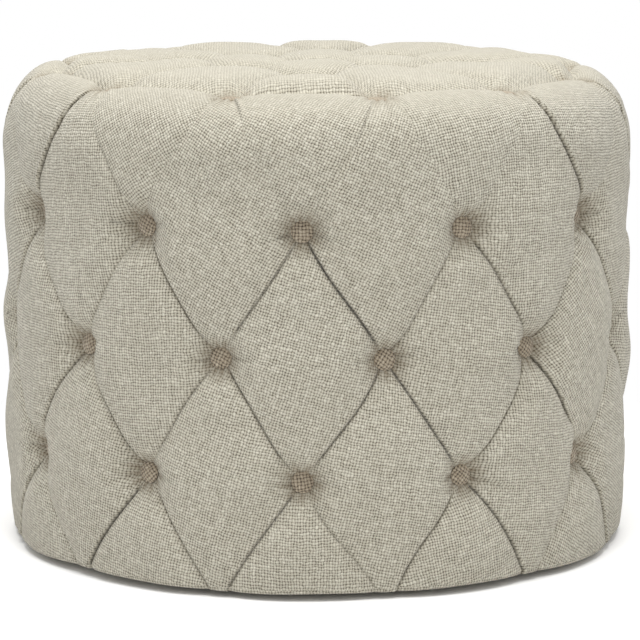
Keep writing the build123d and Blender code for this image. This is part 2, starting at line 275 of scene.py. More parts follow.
@dataclass(frozen=True)
class Tufting:
    """Where the buttons are, and the pleats between them."""

    padding: Padding
    around: int = 12
    row_heights: tuple[float, ...] = (0.328, 0.214, 0.105)
    row_names: tuple[str, ...] = ("upper", "middle", "lower")
    ring_inset: float = 0.026
    arms: int = 4
    arm_radius: float = 0.132
    inner_radius: float = 0.093
    hem_height: float = 0.012
    hem_split: float = 4.0
    bow: float = 0.0034

    def place(self, tuft: Tuft) -> Array:
        """The angle and run of a named tuft, or of a pleat's end at the hem.

        Args:
            tuft: its kind, row and number.

        Returns:
            Its angle in degrees and its run in metres.
        """
        kind, row, number = tuft
        step, quarter = 360.0 / self.around, 360.0 / self.arms
        if kind == "side":
            place = (number + row % 2 / 2) * step, self.padding.run_at(self.row_heights[row])
        elif kind == "hem":
            place = ((number + 0.5) * step + row * self.hem_split / 2,
                     self.padding.run_at(self.hem_height))
        elif kind == "ring":
            place = (number + 0.5) * step, self.padding.side_radius - self.ring_inset
        elif kind == "arm":
            place = number * quarter, self.arm_radius
        elif kind == "inner":
            place = (number + 0.5) * quarter, self.inner_radius
        else:
            place = 0.0, 0.0
        return np.array(place)

    def named(self, kind: str, number: int, row: int = 0) -> Tuft:
        """A tuft's name, with its number taken round the ottoman."""
        count = self.arms if kind in ("arm", "inner") else self.around
        return (kind, row, number % count)

    def rows(self) -> dict[str, list[Tuft]]:
        """The tufts of every row of buttons, by the row's name.

        Returns:
            Names of the CAD nodes, each with its tufts.
        """
        rows = {f"side_buttons_{name}": [("side", row, n) for n in range(self.around)]
                for row, name in enumerate(self.row_names)}
        rows["top_buttons_outer"] = [("ring", 0, n) for n in range(self.around)]
        rows["top_buttons_inner"] = [(kind, 0, n) for kind in ("arm", "inner")
                                     for n in range(self.arms)] + [("centre", 0, 0)]
        return rows

    def tufts(self) -> list[Tuft]:
        """Every button's tuft."""
        return sum(self.rows().values(), [])

    def ordered(self, first: Tuft, last: Tuft) -> tuple[Tuft, ...]:
        """A pleat's two ends, the one nearer the middle of the top first."""
        return tuple(sorted((first, last), key=lambda end: (round(self.place(end)[1], 4), end)))

    def tuck(self, first: Tuft, last: Tuft) -> Tuck:
        """How firmly the pleat between two ends is tucked in.

        Args:
            first: one end of the pleat.
            last: its other end.

        Returns:
            Its own tuck at the front, and elsewhere one drawn between its kind's limits.
        """
        first, last = self.ordered(first, last)
        firm = FIRM_TUCKS.get((first[:2], last[:2]), {}).get((first[2], last[2]))
        if firm:
            return Tuck(*firm)
        ranges = TUCK_RANGES.get((first[0], last[0]), TOP_TUCKS)
        return Tuck(*draws("tuck", first, last).uniform(*ranges))

    def pleat(self, first: Tuft, last: Tuft, shares: Array) -> Array:
        """Places along a pleat, straight but for a slight bow.

        On the top it is a straight line in plan. On the side the angle and the run change
        evenly. The bow is a half sine square to it, with a weaker whole sine.

        Args:
            first: the tuft where the pleat starts.
            last: the tuft or hem end where it ends.
            shares: shares of the way from first to last.

        Returns:
            Places, one for each share.
        """
        if (first, last) != self.ordered(first, last):
            return self.pleat(last, first, 1.0 - shares[::-1])[::-1]
        start, end = self.place(first), self.place(last)
        size = draws("bow", first, last).uniform(-self.bow, self.bow, 2)
        across = size[0] * np.sin(np.pi * shares) + size[1] / 2 * np.sin(2 * np.pi * shares)
        on_top = "side" not in (first[0], last[0])
        turn = signed(end[0] - start[0])
        scale = np.radians(1.0) * self.padding.side_radius
        if on_top:
            start, end = (place[1] * heading(np.radians(place[0])) for place in (start, end))
            along = end - start
        else:
            along = np.array((turn * scale, end[1] - start[1]))
        normal = np.array((-along[1], along[0])) / np.linalg.norm(along)
        if on_top:
            return top_places(start + shares[:, None] * along + across[:, None] * normal)
        angle = start[0] + turn * shares + across * normal[0] / scale
        return np.stack([angle, start[1] + along[1] * shares + across * normal[1]], axis=-1)


@dataclass(frozen=True)
class Cell:
    """One pillow between pleats.

    left and right are chains of tufts down its sides, from near to far. Where near or far is
    one tuft for both sides, the pillow comes to a point there, and otherwise a pleat closes it.
    """

    left: tuple[Tuft, ...]
    right: tuple[Tuft, ...]
    on_top: bool = False

    @property
    def borders(self) -> list[tuple[Tuft, Tuft]]:
        """The pleats round the pillow, as pairs of tufts.

        Returns:
            The pairs down both sides, and then those that close its ends.
        """
        sides = [pair for chain in (self.left, self.right) for pair in zip(chain, chain[1:])]
        ends = [(self.left[at], self.right[at]) for at in (0, -1)]
        return sides + [(a, b) for a, b in ends if a != b and "hem" not in (a[0], b[0])]

    @property
    def tufts(self) -> list[Tuft]:
        """The buttons at its corners."""
        return sorted({tuft for tuft in self.left + self.right if tuft[0] != "hem"})


@dataclass
class Skin:
    """Grids of points and their coordinates on the cloth, joined into one mesh."""

    points: list[Array] = field(default_factory=list)
    maps: dict[str, list[Array]] = field(default_factory=dict)
    faces: list[NDArray[np.int64]] = field(default_factory=list)
    count: int = 0

    def add(self, points: Array, closed: bool = False, **maps: Array) -> None:
        """Add a grid of points, rows by columns, as quads.

        Args:
            points: rows by columns by x, y and z.
            closed: whether the last column joins the first.
            maps: rows by columns by two coordinates, by the name of their map.
        """
        rows, columns = points.shape[:2]
        index = np.arange(rows * columns).reshape(rows, columns) + self.count
        if closed:
            index = np.concatenate([index, index[:, :1]], axis=1)
        quads = np.stack([index[:-1, :-1], index[:-1, 1:], index[1:, 1:], index[1:, :-1]], -1)
        self.points.append(points.reshape(-1, 3))
        for name, coordinates in maps.items():
            self.maps.setdefault(name, []).append(coordinates.reshape(-1, 2))
        self.faces.append(quads.reshape(-1, 4))
        self.count += rows * columns

    def piece(self, name: str) -> Piece:
        """Weld the grids, close their poles, turn the faces outwards and make the object.

        Args:
            name: the object's name.

        Returns:
            The object.
        """
        faces = np.concatenate(self.faces)
        mesh = bpy.data.meshes.new(name)
        mesh.from_pydata(np.concatenate(self.points).tolist(), [], faces.tolist())
        for title, coordinates in self.maps.items():
            uv = mesh.uv_layers.new(name=title)
            uv.data.foreach_set("uv", np.concatenate(coordinates)[faces.ravel()].ravel())
        tidy = bmesh.new()
        tidy.from_mesh(mesh)
        bmesh.ops.remove_doubles(tidy, verts=tidy.verts, dist=WELD_DISTANCE)
        bmesh.ops.dissolve_degenerate(tidy, edges=tidy.edges, dist=WELD_DISTANCE / 4)
        bmesh.ops.recalc_face_normals(tidy, faces=tidy.faces)
        tidy.to_mesh(mesh)
        tidy.free()
        mesh.shade_smooth()
        return placed(name, mesh)


@dataclass(frozen=True)
class Cover:
    """The buttoned linen cover with its fibre filling."""

    tufting: Tufting
    # How high the pleats stand, and how the pillows swell, by shares of the full depth
    pleat_share: float = 0.67
    edge_share: float = 0.88
    ring_shares: tuple[float, float] = (0.60, 0.0)
    top_share: float = 0.22
    hem_share: float = 0.66
    hem_reach: float = 0.070
    pleat_reach: float = 0.042
    pillow_reach: float = 0.026
    seat_power: float = 2.0
    pillow_power: float = 2.15
    least_power: float = 3.0
    overhang: float = 0.26
    ring_overhang: float = 0.76
    fullness: tuple[float, float] = (0.94, 1.0)
    # The upper edge, lowest at one bearing
    shoulder_shares: tuple[float, float] = (0.34, 0.62)
    shoulder_places: tuple[float, float] = (0.007, -0.006)
    shoulder_reach: float = 0.024
    low_bearing: float = 290.0
    # Seats, tucks and lips
    seat_radius: float = 0.0085
    bowl_depth: float = 0.0038
    bowl_radii: tuple[float, float] = (0.0057, 0.0125)
    fold_depth: float = 0.0034
    fold_width: float = 0.0010
    lip_height: float = 0.0014
    lip_place: float = 0.0026
    lip_width: float = 0.0015
    level: float = 0.002
    # Unevenness of the filling, furrows and gathers, and the reach of the painted shade in the
    # pockets round the buttons
    lump: float = 0.0011
    lump_waves: int = 14
    lump_lengths: tuple[float, float] = (0.06, 0.12)
    lump_spread: float = 3.0
    wrinkle: float = 0.0030
    crease_reach: float = 0.060
    furrow_least: tuple[float, ...] = (-0.26, -3.0, 0.35, 0.030, 0.0022)
    furrow_most: tuple[float, ...] = (0.26, 4.0, 1.0, 0.052, 0.0036)
    furrow_start: tuple[float, float] = (0.008, 0.014)
    furrow_fade: float = 0.5
    gather: float = 0.0012
    gather_counts: tuple[int, int] = (9, 14)
    gather_start: tuple[float, float] = (0.009, 0.015)
    gather_place: float = 0.012
    gather_fade: float = 0.011
    gather_twist: float = 60.0
    gathered_radii: tuple[float, float] = (0.009, 0.024)
    gathered_shares: tuple[float, float] = (0.7, 0.3)
    # The weave's lie on the cloth, and the mesh
    mean_lift: float = 0.018
    thread_turn: float = 0.28
    across: int = 44
    crowding: float = 1.5
    # The hem, its turn-in and the lining
    turn_in_radius: float = 0.222
    lining_radius: float = 0.272
    lining_gap: float = 0.003
    lining_round: float = 0.002
    lining_top_radius: float = 0.12
    hem_thickness: float = 0.0024
    hem_edge_round: float = 0.001
    quarter_steps: int = 6
    floor_gap: float = 0.008
    sag: float = 0.0030
    sag_reach: float = 0.050
    sag_mean: float = 0.8
    sag_swings: tuple[float, float] = (0.1, 0.3)
    sag_waves: tuple[int, ...] = (2, 5, 9, 14)
    sag_edge: tuple[float, float] = (-0.010, 0.012)

    @property
    def shares(self) -> Array:
        """Shares across a pillow, close together at both pleats.

        Each half is half of twice the even share raised to the crowding.

        Returns:
            The shares, from 0 to 1.
        """
        even = np.linspace(0.0, 1.0, self.across + 1)
        half = 0.5 * (2.0 * np.minimum(even, 1.0 - even)) ** self.crowding
        return np.where(even <= 0.5, half, 1.0 - half)

    def cells(self) -> list[Cell]:
        """The pillows of the side, the edge and the top.

        Returns:
            Every pillow, those of the side first.
        """
        named = self.tufting.named
        found = []
        for n in range(self.tufting.around):
            ring, below = named("ring", n), named("side", n, 1)
            uppers, lowers = ((named("side", n, row), named("side", n + 1, row)) for row in (0, 2))
            hems = named("hem", n, -1), named("hem", n, 1)
            before = named("side", n - 1, 1)
            found += [
                Cell((ring, uppers[0], below), (ring, uppers[1], below)),
                Cell((uppers[0], before, lowers[0]), (uppers[0], below, lowers[0])),
                Cell((below, lowers[0], hems[0]), (below, lowers[1], hems[1])),
                Cell((lowers[0], named("hem", n - 1, 1)), (lowers[0], hems[0])),
            ]
        per_arm = self.tufting.around // self.tufting.arms
        centre = ("centre", 0, 0)
        for arm in range(self.tufting.arms):
            n = arm * per_arm
            tip, following = named("arm", arm), named("arm", arm + 1)
            here, before = named("inner", arm), named("inner", arm - 1)
            rings = [named("ring", n + k) for k in range(-1, per_arm)]
            for k in range(per_arm):
                low = named("side", n + k, 0)
                found.append(Cell((low, rings[k]), (low, rings[k + 1])))
            found += [
                Cell((rings[0], tip), (rings[1], tip), True),
                Cell((rings[1], tip), (rings[2], here), True),
                Cell((rings[2], here), (rings[3], following), True),
                Cell((tip, before, centre), (tip, here, centre), True),
            ]
        return found

    def side(self, chain: tuple[Tuft, ...]) -> Array:
        """Places down one side of a pillow, through all its tufts."""
        parts = [self.tufting.pleat(*pair, self.shares) for pair in zip(chain, chain[1:])]
        return np.concatenate([parts[0]] + [part[1:] for part in parts[1:]])

    def end(self, left: Tuft, right: Tuft) -> Array:
        """Places across the end of a pillow: a pleat, a stretch of hem, or one point.

        Args:
            left: the end of its left side.
            right: the end of its right side.

        Returns:
            Places, one for each share.
        """
        if left == right:
            return np.repeat(self.tufting.place(left)[None], self.across + 1, axis=0)
        if "hem" in (left[0], right[0]):
            start, stop = (self.tufting.place(tuft) for tuft in (left, right))
            return start + self.shares[:, None] * np.array((signed(stop[0] - start[0]), 0.0))
        return self.tufting.pleat(left, right, self.shares)

    def chart(self, places: Array, on_top: bool, middle: float) -> Array:
        """Places as flat coordinates, in which a pillow's rows are mixed.

        The top is charted in plan. Elsewhere the angle from the pillow's middle is kept in
        degrees beside the run.

        Args:
            places: angles and runs.
            on_top: whether the pillow lies on the flat top.
            middle: the angle of its middle, in degrees.

        Returns:
            Flat coordinates, two in the last axis.
        """
        if on_top:
            return places[..., 1:] * heading(np.radians(places[..., 0]))
        return np.stack([signed(places[..., 0] - middle), places[..., 1]], axis=-1)

    def unchart(self, flat: Array, on_top: bool, middle: float) -> Array:
        """Flat coordinates back as places."""
        return top_places(flat) if on_top else flat + np.array((middle, 0.0))

    def grid(self, cell: Cell) -> Array:
        """Places of a pillow, rows by columns.

        A Coons patch: each point is the mix of the two sides, plus the mix of the two ends,
        less the mix of the four corners. A pillow of four tufts has its rows along its pleats.

        Args:
            cell: the pillow.

        Returns:
            Angles and runs, rows by columns.
        """
        left, right = cell.left, cell.right
        if len(left) == 3 and left[-1] == right[-1]:
            sides = [self.side(pair) for pair in (left[:2], right[1:])]
            ends = [self.side(pair) for pair in (right[:2], left[1:])]
        else:
            sides = [self.side(chain) for chain in (left, right)]
            ends = [self.end(left[at], right[at]) for at in (0, -1)]
        tufts = [tuft for tuft in left + right if tuft[0] != "centre"]
        towards = sum(np.exp(1j * np.radians(self.tufting.place(tuft)[0])) for tuft in tufts)
        middle = float(np.degrees(np.angle(towards)))
        first, last, near, far = (self.chart(line, cell.on_top, middle) for line in sides + ends)
        s = self.shares[None, :, None]
        t = (np.linspace(0.0, 1.0, len(first)) if len(first) > len(self.shares)
             else self.shares)[:, None, None]
        mixed = (1 - s) * first[:, None] + s * last[:, None]
        mixed = mixed + (1 - t) * near[None] + t * far[None]
        corners = (1 - t) * ((1 - s) * near[0] + s * near[-1])
        corners = corners + t * ((1 - s) * far[0] + s * far[-1])
        return self.unchart(mixed - corners, cell.on_top, middle)

    def nearness(self, points: Array, first: Tuft, last: Tuft) -> tuple[Array, Array]:
        """Least distance of points from a pleat, and the share of its run where that is.

        Args:
            points: points on the padding.
            first: one end of the pleat.
            last: its other end.

        Returns:
            The distances, and the shares from the pleat's end nearer the top's middle.
        """
        ends = self.tufting.ordered(first, last)
        line = self.tufting.padding.points(self.tufting.pleat(*ends, self.shares))
        start, along = line[:-1], np.diff(line, axis=0)
        length = np.maximum((along ** 2).sum(-1), LEAST ** 2)
        offset = points[:, None] - start[None]
        part = np.clip((offset * along).sum(-1) / length, 0.0, 1.0)
        gaps = np.linalg.norm(offset - part[..., None] * along, axis=-1)
        nearest = gaps.argmin(axis=1)
        each = np.arange(len(points))
        share = self.shares[nearest] + part[each, nearest] * np.diff(self.shares)[nearest]
        return gaps[each, nearest], share

    def hold(self, first: Tuft, last: Tuft) -> float:
        """How high a pleat stands, as a share of the full depth.

        Args:
            first: one end of the pleat.
            last: its other end.

        Returns:
            The share, which the kinds of the ends decide, and round the ring the bearing.
        """
        kinds = {first[0], last[0]}
        if kinds == {"ring", "side"}:
            return self.edge_share
        if kinds == {"ring"}:
            bearing = self.tufting.pleat(first, last, np.array((0.0, 0.5, 1.0)))[1, 0]
            return self.by_bearing(self.ring_shares, np.radians(bearing))
        return self.pleat_share if "side" in kinds else self.top_share

    def by_bearing(self, ends: tuple[float, float], angle: Array | float) -> Array | float:
        """A value that swings by a cosine of the angle, with its last value at the low bearing."""
        lowness = 0.5 + 0.5 * np.cos(angle - np.radians(self.low_bearing))
        return ends[0] + (ends[1] - ends[0]) * lowness

    def relief(self, cell: Cell, places: Array) -> tuple[Array, Array]:
        """How far a pillow stands off the padding, and where its folds are.

        The cloth rises in a small bowl round each button. A pleat goes on rising steeply from
        there to its share of the full depth. A pillow rises from its pleats to the full depth
        by a soft least of its distances from them, each taken as a steep rise over the
        pillow's half width. The cloth hangs over the buttons from above, and over the ring's
        from outside, by a rise that is quicker on those sides. Pleats and pillows draw in near
        the hem, and over the upper edge by a bell curve of the run, which is wider and deeper
        on one side. Where a pleat is tucked, a bell-shaped groove runs along it, and the pillow
        that laps over it has a rolled lip beside it. What differs from pleat to pleat is mixed
        by the inverse cubes of the distances, so that two pillows agree on the pleat between
        them.

        Args:
            cell: the pillow.
            places: its places.

        Returns:
            The lift in metres, and the distance from the nearest pleat beside its tuck.
        """
        padding = self.tufting.padding
        base = padding.points(places).reshape(-1, 3)
        tufts = padding.points(np.array([self.tufting.place(tuft) for tuft in cell.tufts]))
        offset = base[:, None] - tufts[None]
        distance = np.linalg.norm(offset, axis=-1)
        nearest = distance.argmin(axis=1)
        from_tuft = distance.min(axis=1)
        way = offset[np.arange(len(base)), nearest] / np.maximum(from_tuft, LEAST)[:, None]
        angle = np.radians(places[..., 0]).ravel()
        outwards = np.maximum(way[:, 0] * np.cos(angle) + way[:, 1] * np.sin(angle), 0.0)
        ring = np.array([tuft[0] == "ring" for tuft in cell.tufts])[nearest]
        slower = 1.0 - np.where(ring, self.ring_overhang * outwards, self.overhang * way[:, 2])
        beyond_seat = np.maximum(from_tuft - self.seat_radius, 0.0) / slower
        near = [self.nearness(base, *pair) for pair in cell.borders]
        gaps = np.stack([gap for gap, _ in near])
        tucks = np.stack([self.tufting.tuck(*pair).at(share)
                          for pair, (_, share) in zip(cell.borders, near)])
        gap = gaps.min(axis=0)
        weight = (gaps + LEAST) ** -self.least_power
        weight /= weight.sum(axis=0)
        held = weight.T @ np.array([self.hold(*pair) for pair in cell.borders])
        tucked = (weight * tucks).sum(axis=0) * smooth(from_tuft, 0.0, self.seat_radius)
        rise = np.maximum(ease(gaps, gap.max(), self.pillow_power), LEAST)
        soft_least = (rise ** -self.least_power).sum(axis=0) ** (-1.0 / self.least_power)
        fullness = soft_least / soft_least.max()
        own = draws("pillow", *cell.left, *cell.right)
        depth = padding.tuft_depth - self.bowl_depth
        valley = depth * held * ease(beyond_seat, self.pleat_reach, self.seat_power)
        crown = depth * own.uniform(*self.fullness) * ease(beyond_seat, self.pillow_reach,
                                                           self.seat_power)
        lift = valley + np.maximum(crown - valley, 0.0) * fullness
        low = np.clip((self.hem_reach - base[:, 2]) / self.hem_reach, 0.0, 1.0)
        lift = lift * (1.0 - (1.0 - self.hem_share) * low ** 2)
        shoulder = padding.flat_radius + padding.corner_run / 2 + self.by_bearing(
            self.shoulder_places, angle)
        from_edge = (places[..., 1].ravel() - shoulder) / self.shoulder_reach
        lift = lift * (1.0 - self.by_bearing(self.shoulder_shares, angle) * bell(from_edge))
        lift = lift + self.bowl_depth * smooth(from_tuft, *self.bowl_radii)
        lift = lift - self.fold_depth * tucked * bell(gap / self.fold_width)
        middle = base[fullness.argmax()]
        for pair, beside, tuck in zip(cell.borders, gaps, tucks):
            line = padding.points(self.tufting.pleat(*pair, self.shares))
            higher = middle[2] - line[:, 2].mean() > self.level
            outside = np.hypot(*middle[:2]) > polar(line)[1].mean()
            lap = Lap.OVER if higher or (cell.on_top and outside) else Lap.UNDER
            roll = bell((beside - self.lip_place) / self.lip_width)
            lift = lift + lap.value * self.lip_height * tuck * roll * smooth(
                gap, 0.0, self.fold_width)
        folds = np.stack([gap, tucked], axis=-1).reshape(*places.shape[:-1], 2)
        return lift.reshape(places.shape[:-1]), folds

    def lumps(self, points: Array) -> Array:
        """Slight unevenness of the filling: a sum of seeded waves of some 60 to 120 mm.

        Args:
            points: points on the padding.

        Returns:
            What the filling adds to the lift, in metres.
        """
        own = draws("lumps")
        total = np.zeros(points.shape[:-1])
        for _ in range(self.lump_waves):
            way = own.normal(size=3)
            way *= 2 * np.pi / own.uniform(*self.lump_lengths) / np.linalg.norm(way)
            total += np.sin(points @ way + own.uniform(0.0, 2 * np.pi))
        return self.lump * total / self.lump_spread

    def creases(self, places: Array) -> tuple[Array, Array, Array]:
        """Small folds at the buttons.

        Each button has a furrow on either side, which runs out along a bent line and is a
        bell curve across, and fine gathers around it: a cosine of the direction that fades
        out with the distance.

        Args:
            places: places on the cloth.

        Returns:
            What the folds add to the lift, in metres; the distance from the nearest furrow's
            line beside its strength; and how strongly painted shade darkens the pocket round each
            button, given twice.
        """
        padding = self.tufting.padding
        points = padding.points(places)
        total, gathered = np.zeros(points.shape[:-1]), np.zeros(points.shape[:-1])
        furrows = np.zeros((*total.shape, 2))
        for tuft in self.tufting.tufts():
            place = self.tufting.place(tuft)
            offset = points - padding.points(place)
            gap = np.linalg.norm(offset, axis=-1)
            near = gap < self.crease_reach
            offset, gap = offset[near], gap[near]
            turn = np.radians(place[0])
            beside = offset @ np.array((-np.sin(turn), np.cos(turn), 0.0))
            outwards = offset @ np.array((np.cos(turn), np.sin(turn), 0.0))
            up = np.where(tuft[0] == "side", offset[:, 2], -outwards)
            own = draws("furrow", tuft)
            added = np.zeros(len(up))
            for side in (-1.0, 1.0):
                slope, bend, size, length, breadth = own.uniform(self.furrow_least,
                                                                 self.furrow_most)
                reach = beside * side
                across = up - slope * reach - bend * reach ** 2
                fade = smooth(reach, *self.furrow_start)
                fade = fade * (1.0 - smooth(reach, length * self.furrow_fade, length))
                added -= self.wrinkle * size * fade * bell(across / breadth)
                marks = np.stack([across, size * fade], axis=-1)
                furrows[near] = np.where(reach[:, None] > 0.0, marks, furrows[near])
            folds, phase = own.integers(*self.gather_counts), own.uniform(0.0, 2 * np.pi)
            wave = np.cos(folds * np.arctan2(up, beside) + phase + self.gather_twist * gap)
            fade = np.exp(-np.maximum(gap - self.gather_place, 0.0) / self.gather_fade)
            added += self.gather * (fade * smooth(gap, *self.gather_start)) * wave
            total[near] += added
            # Painted shade in the pocket round the button: darkest near it, in stripes along the
            # gathers
            even, uneven = self.gathered_shares
            close = (1.0 - smooth(gap, *self.gathered_radii)) * (even - uneven * wave)
            gathered[near] = np.maximum(gathered[near], close)
        return total, furrows, np.stack([gathered, gathered], axis=-1)

    def cloth(self, cell: Cell, places: Array) -> Array:
        """Where the places lie on the flat cloth, in metres, turned a little on each pillow.

        On the top it is the plan. On the side it is the angle times the radius, beside the way
        down over a bulging edge.

        Args:
            cell: the pillow.
            places: its places.

        Returns:
            Two coordinates for each place.
        """
        padding = self.tufting.padding
        inner, over, fall = padding.split(places[..., 1])
        bulge = padding.corner_radius + self.mean_lift
        reach = inner + bulge * np.sin(over)
        turn = draws("thread", *cell.left, *cell.right).normal(0.0, self.thread_turn)
        if cell.on_top:
            flat = reach[..., None] * heading(np.radians(places[..., 0]))
        else:
            angle = places[..., 0]
            middle = angle.mean()
            flat = np.stack([np.radians(angle - middle) * reach + np.radians(middle),
                             inner + bulge * over + fall], axis=-1)
        return flat @ np.array(((np.cos(turn), np.sin(turn)), (-np.sin(turn), np.cos(turn))))

    def settled(self, points: Array) -> Array:
        """The points with the roll at the hem sunk a little towards the floor, unevenly.

        The drop fades out by the square of the height, and on the way in under the base. Round
        the ottoman it swings with a few seeded cosines of the angle.

        Args:
            points: points of the cover.

        Returns:
            The same points, each at its own lower height.
        """
        own = draws("sag")
        angle, radius = polar(points)
        swing = sum(own.uniform(*self.sag_swings)
                    * np.cos(count * angle + own.uniform(0.0, 2 * np.pi))
                    for count in self.sag_waves)
        low = np.clip(1.0 - points[:, 2] / self.sag_reach, 0.0, 1.0) ** 2
        outside = smooth(radius, *(self.lining_radius + edge for edge in self.sag_edge))
        drop = self.sag * (self.sag_mean + swing) * low * outside
        return np.stack([points[:, 0], points[:, 1], points[:, 2] - drop], axis=-1)

    def hem_edge(self, points: Array) -> Array:
        """The lowest row of the pillows, once round, in order of angle.

        Args:
            points: the points of every pillow.

        Returns:
            The points at the hem's height, each once.
        """
        low = points[points[:, 2] < self.tufting.hem_height + WELD_DISTANCE]
        low = low[np.argsort(polar(low)[0])]
        return low[np.linalg.norm(low - np.roll(low, 1, axis=0), axis=-1) > WELD_DISTANCE]

    def turn_in(self, skin: Skin, hem: Array) -> None:
        """Carry the hem round a quarter turn, in under the base, and up as a plain lining.

        Each station is a radius and a height. The quarter turn starts at the hem's own radius
        and ends lower by its fall.

        Args:
            skin: the mesh so far.
            hem: points of the hem, once round.
        """
        padding, hem_height = self.tufting.padding, self.tufting.hem_height
        angle, radius = polar(hem)
        fall = hem_height - self.floor_gap
        turns = np.linspace(0.0, np.pi / 2, self.quarter_steps)
        stations = [(radius - fall * (1 - np.cos(turn)), hem_height - fall * np.sin(turn))
                    for turn in turns]
        top = padding.crest_height - padding.tuft_depth - self.lining_gap
        inner = self.floor_gap + self.hem_thickness
        corner = padding.corner_radius - self.lining_gap
        edge, lining = self.turn_in_radius + self.hem_edge_round, self.lining_radius
        stations += [(edge, self.floor_gap), (self.turn_in_radius, (self.floor_gap + inner) / 2),
                     (edge, inner), (lining - self.lining_round, inner),
                     (lining, inner + self.lining_round), (lining, top - corner)]
        stations += [(lining - corner * (1 - np.cos(turn)), top - corner * (1 - np.sin(turn)))
                     for turn in turns[1:]]
        stations += [(self.lining_top_radius, top), (0.0, top)]
        points = np.stack([space(reach, angle, height) for reach, height in stations])
        run = way_along(points)
        cloth = np.stack([np.broadcast_to(angle * padding.side_radius, run.shape), run], axis=-1)
        plain = np.zeros_like(cloth)
        skin.add(points, closed=True, cloth=cloth, fold=plain, furrow=plain, gather=plain)

    def build(self) -> Piece:
        """Make the closed cover: pillows outside, the hem turned in, and the lining inside.

        Returns:
            The cover as one object.
        """
        skin = Skin()
        padding = self.tufting.padding
        for cell in self.cells():
            places = self.grid(cell)
            lift, folds = self.relief(cell, places)
            # The third map from the creases is the painted shade of the pockets round the buttons
            added, furrows, gathered = self.creases(places)
            uneven = self.lumps(padding.points(places)) * lift / padding.tuft_depth
            skin.add(padding.points(places, lift + added + uneven), fold=folds, furrow=furrows,
                     gather=gathered, cloth=self.cloth(cell, places))
        self.turn_in(skin, self.hem_edge(np.concatenate(skin.points)))
        skin.points = [self.settled(points) for points in skin.points]
        return skin.piece("buttoned_cover")

    def dressed(self) -> list[Piece]:
        """Build the cover in its linen, in place of CAD's.

        Returns:
            The cover alone.
        """
        cover = declare(self.build(), "linen", "linen_cover")
        dress(cover, LINEN.material())
        return [cover]


@dataclass(frozen=True)
class Field:
    """A number, colour or shader that nodes work out, with plain arithmetic."""

    make: "Recipe"
    socket: bpy.types.NodeSocket

    def output(self, name: str) -> "Field":
        """Another output of the same node."""
        return Field(self.make, self.socket.node.outputs[name])

    def axis(self, name: str) -> "Field":
        """One of a vector's coordinates."""
        return self.make.add("SeparateXYZ", vector=self).output(name)

    def math(self, operation: str, *others: "Field | float") -> "Field":
        """The result of one Math node on this field and others."""
        return self.make.add("Math", self, *others, operation=operation)

    def __add__(self, other: "Field | float") -> "Field":
        """Sum."""
        return self.math("ADD", other)

    def __sub__(self, other: "Field | float") -> "Field":
        """Difference."""
        return self.math("SUBTRACT", other)

    def __mul__(self, other: "Field | float") -> "Field":
        """Product."""
        return self.math("MULTIPLY", other)

    def ramp(self, at_zero: float, at_one: float) -> "Field":
        """A straight line: its value where this field is 0, and its value where it is 1."""
        return self * (at_one - at_zero) + at_zero

    def within(self, low: float, high: float, to_low: float = 0.0, to_high: float = 1.0) -> "Field":
        """This field carried from one range to another, and held there."""
        return self.make.add("MapRange", self, low, high, to_low, to_high)


@dataclass(frozen=True)
class Recipe:
    """The nodes of a material or world in the making."""

    owner: bpy.types.Material | bpy.types.World

    def __post_init__(self) -> None:
        """Start with the nodes that every material or world has."""
        self.owner.use_nodes = True

    def feed(self, place: bpy.types.NodeSocket, value: object) -> None:
        """Link a field to a socket, or set the socket's own value.

        Args:
            place: the socket.
            value: a field, a number, a colour or a vector.
        """
        if isinstance(value, Field):
            self.owner.node_tree.links.new(value.socket, place)
        elif isinstance(value, tuple) and len(value) == 3 and len(place.default_value) == 4:
            place.default_value = (*value, 1.0)
        else:
            place.default_value = value

    def fill(self, node: bpy.types.Node, **settings: object) -> None:
        """Feed a node's sockets by name, and set what is no socket.

        Args:
            node: the node.
            settings: values by the names of sockets or settings.
        """
        for name, value in settings.items():
            label = name.replace("_", " ").title().replace("Ior", "IOR")
            if label in node.inputs:
                self.feed(node.inputs[label], value)
            else:
                setattr(node, name, value)

    def add(self, kind: str, *inputs: object, **settings: object) -> Field:
        """A new node.

        Args:
            kind: the node's kind.
            inputs: values of its first sockets, in order.
            settings: values by the names of sockets or settings.

        Returns:
            The node's first output.
        """
        node = self.owner.node_tree.nodes.new(f"ShaderNode{kind}")
        self.fill(node, **settings)
        for place, value in zip(node.inputs, inputs):
            self.feed(place, value)
        return Field(self, node.outputs[0])

    def position(self, stretch: tuple[float, float, float] = WHITE) -> Field:
        """Object coordinates, in metres, stretched along each axis."""
        return self.add("Mapping", vector=self.add("TexCoord").output("Object"), scale=stretch)

    def noise(self, place: Field, scale: float, detail: float) -> Field:
        """Soft noise from 0 to 1 about a half, with scale waves in each metre."""
        return self.add("TexNoise", vector=place, scale=scale, detail=detail)

    def moved(self, place: Field, start: Field, reach: float, *, least: float = 0.0) -> Field:
        """A place shifted in two directions by a colour less its least, times the reach."""
        away = self.add("VectorMath", start, (least, least, least), operation="SUBTRACT")
        return self.add("VectorMath", away, (reach, reach, 0.0), place, operation="MULTIPLY_ADD")

    def mix(self, share: Field | float, first: Field | Colour, last: Field | Colour) -> Field:
        """A colour between two.

        Args:
            share: how much of the last one.
            first: one colour.
            last: the other colour.

        Returns:
            The mixed colour.
        """
        node = self.add("Mix", data_type="RGBA").socket.node
        for number, value in ((0, share), (6, first), (7, last)):
            self.feed(node.inputs[number], value)
        return Field(self, node.outputs[2])

    def set(self, **values: object) -> None:
        """Set the material's shader by the names of its sockets."""
        self.fill(self.owner.node_tree.nodes["Principled BSDF"], **values)

    def bump(self, height: Field, depth: float) -> None:
        """Raise the surface by a height of 0 to 1 times the depth in metres."""
        self.set(normal=self.add("Bump", height=height, distance=depth))

    def show(self, shader: Field, output: str) -> None:
        """Show this shader instead of the plain one."""
        self.feed(self.owner.node_tree.nodes[output].inputs[0], shader)


